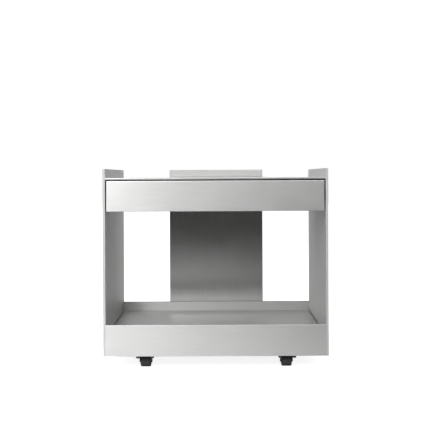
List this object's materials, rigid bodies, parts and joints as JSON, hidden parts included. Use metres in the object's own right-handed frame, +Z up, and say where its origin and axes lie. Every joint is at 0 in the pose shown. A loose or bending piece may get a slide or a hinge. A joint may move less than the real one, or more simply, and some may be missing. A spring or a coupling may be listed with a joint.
{
  "type": "serving trolley",
  "caption": "Rectangular serving trolley of folded stainless sheet: sunk table top between side panels, wide drawer on ball runners, low tray and swivel castors.",
  "frame": {"origin": "on the floor under the middle of the trolley", "axes": "+X along the width to the right seen from the drawer side, +Y from the drawer to the back panel, +Z up"},
  "size_m": [0.9, 0.5, 0.805],
  "materials": {
    "brushed_sheet": "brushed stainless sheet",
    "inner_steel": "plain mill sheet",
    "runner_steel": "bright zinc",
    "fastener_steel": "zinc plated",
    "castor_steel": "dark grey, half matt",
    "wheel_nylon": "moulded",
    "tyre_rubber": "matt rubber",
    "buffer_rubber": "matt rubber"
  },
  "bodies": {
    "frame": {"side_panel_left": "brushed_sheet", "side_panel_right": "brushed_sheet", "side_liner_left": "brushed_sheet", "side_liner_right": "brushed_sheet", "top_angle_left": "inner_steel", "top_angle_right": "inner_steel", "castor_rail_left": "inner_steel", "castor_rail_right": "inner_steel", "runner_cabinet_left": "runner_steel", "runner_cabinet_right": "runner_steel", "back_panel": "brushed_sheet", "back_liner": "brushed_sheet", "table_top": "brushed_sheet", "table_stiffeners": "inner_steel", "front_fascia": "brushed_sheet", "rear_fascia": "brushed_sheet", "tray_floor": "brushed_sheet", "tray_rib": "inner_steel", "tray_brackets": "inner_steel", "frame_screws": "fastener_steel", "runner_buffers": "buffer_rubber", "runner_screws": "fastener_steel", "castor_bolts": "castor_steel", "castor_kingpins": "castor_steel", "castor_plate_front_left": "castor_steel", "castor_plate_front_right": "castor_steel", "castor_plate_rear_left": "castor_steel", "castor_plate_rear_right": "castor_steel"},
    "drawer": {"drawer_front": "brushed_sheet", "drawer_front_liner": "brushed_sheet", "drawer_box": "inner_steel", "drawer_sides": "inner_steel", "drawer_screws": "fastener_steel", "runner_drawer_left": "runner_steel", "runner_drawer_right": "runner_steel"},
    "middle_runners": {"runner_middle_left": "runner_steel", "runner_middle_right": "runner_steel"},
    "outer_cages": {"runner_outer_cages": "runner_steel"},
    "inner_cages": {"runner_inner_cages": "runner_steel"},
    "castor_front_left": {"castor_fork_front_left": "castor_steel", "castor_race_front_left": "runner_steel", "castor_axle_front_left": "castor_steel"},
    "wheel_front_left": {"castor_wheel_front_left": "wheel_nylon", "castor_tyre_front_left": "tyre_rubber"},
    "castor_front_right": {"castor_fork_front_right": "castor_steel", "castor_race_front_right": "runner_steel", "castor_axle_front_right": "castor_steel"},
    "wheel_front_right": {"castor_wheel_front_right": "wheel_nylon", "castor_tyre_front_right": "tyre_rubber"},
    "castor_rear_left": {"castor_fork_rear_left": "castor_steel", "castor_race_rear_left": "runner_steel", "castor_axle_rear_left": "castor_steel"},
    "wheel_rear_left": {"castor_wheel_rear_left": "wheel_nylon", "castor_tyre_rear_left": "tyre_rubber"},
    "castor_rear_right": {"castor_fork_rear_right": "castor_steel", "castor_race_rear_right": "runner_steel", "castor_axle_rear_right": "castor_steel"},
    "wheel_rear_right": {"castor_wheel_rear_right": "wheel_nylon", "castor_tyre_rear_right": "tyre_rubber"}
  },
  "joints": [
    {"name": "drawer_slide", "type": "slide", "parent": "frame", "child": "drawer", "axis": [0, -1, 0], "range_m": [0, 0.42]},
    {"name": "middle_runner_slide", "type": "slide", "parent": "frame", "child": "middle_runners", "axis": [0, -1, 0], "range_m": [0, 0.21]},
    {"name": "outer_cage_slide", "type": "slide", "parent": "frame", "child": "outer_cages", "axis": [0, -1, 0], "range_m": [0, 0.105]},
    {"name": "inner_cage_slide", "type": "slide", "parent": "frame", "child": "inner_cages", "axis": [0, -1, 0], "range_m": [0, 0.315]},
    {"name": "swivel_front_left", "type": "hinge", "parent": "frame", "child": "castor_front_left", "pos_m": [-0.286, -0.19977, 0.05], "axis": [0, 0, 1], "continuous": true},
    {"name": "roll_front_left", "type": "hinge", "parent": "castor_front_left", "child": "wheel_front_left", "pos_m": [-0.286, -0.18577, 0.023], "axis": [1, 0, 0], "continuous": true},
    {"name": "swivel_front_right", "type": "hinge", "parent": "frame", "child": "castor_front_right", "pos_m": [0.286, -0.19977, 0.05], "axis": [0, 0, 1], "continuous": true},
    {"name": "roll_front_right", "type": "hinge", "parent": "castor_front_right", "child": "wheel_front_right", "pos_m": [0.286, -0.18577, 0.023], "axis": [1, 0, 0], "continuous": true},
    {"name": "swivel_rear_left", "type": "hinge", "parent": "frame", "child": "castor_rear_left", "pos_m": [-0.286, 0.18977, 0.05], "axis": [0, 0, 1], "continuous": true},
    {"name": "roll_rear_left", "type": "hinge", "parent": "castor_rear_left", "child": "wheel_rear_left", "pos_m": [-0.286, 0.20377, 0.023], "axis": [1, 0, 0], "continuous": true},
    {"name": "swivel_rear_right", "type": "hinge", "parent": "frame", "child": "castor_rear_right", "pos_m": [0.286, 0.18977, 0.05], "axis": [0, 0, 1], "continuous": true},
    {"name": "roll_rear_right", "type": "hinge", "parent": "castor_rear_right", "child": "wheel_rear_right", "pos_m": [0.286, 0.20377, 0.023], "axis": [1, 0, 0], "continuous": true}
  ],
  "couplings": [
    {"joint": "middle_runner_slide", "follows": "drawer_slide", "ratio": 0.5},
    {"joint": "outer_cage_slide", "follows": "drawer_slide", "ratio": 0.25},
    {"joint": "inner_cage_slide", "follows": "drawer_slide", "ratio": 0.75}
  ]
}
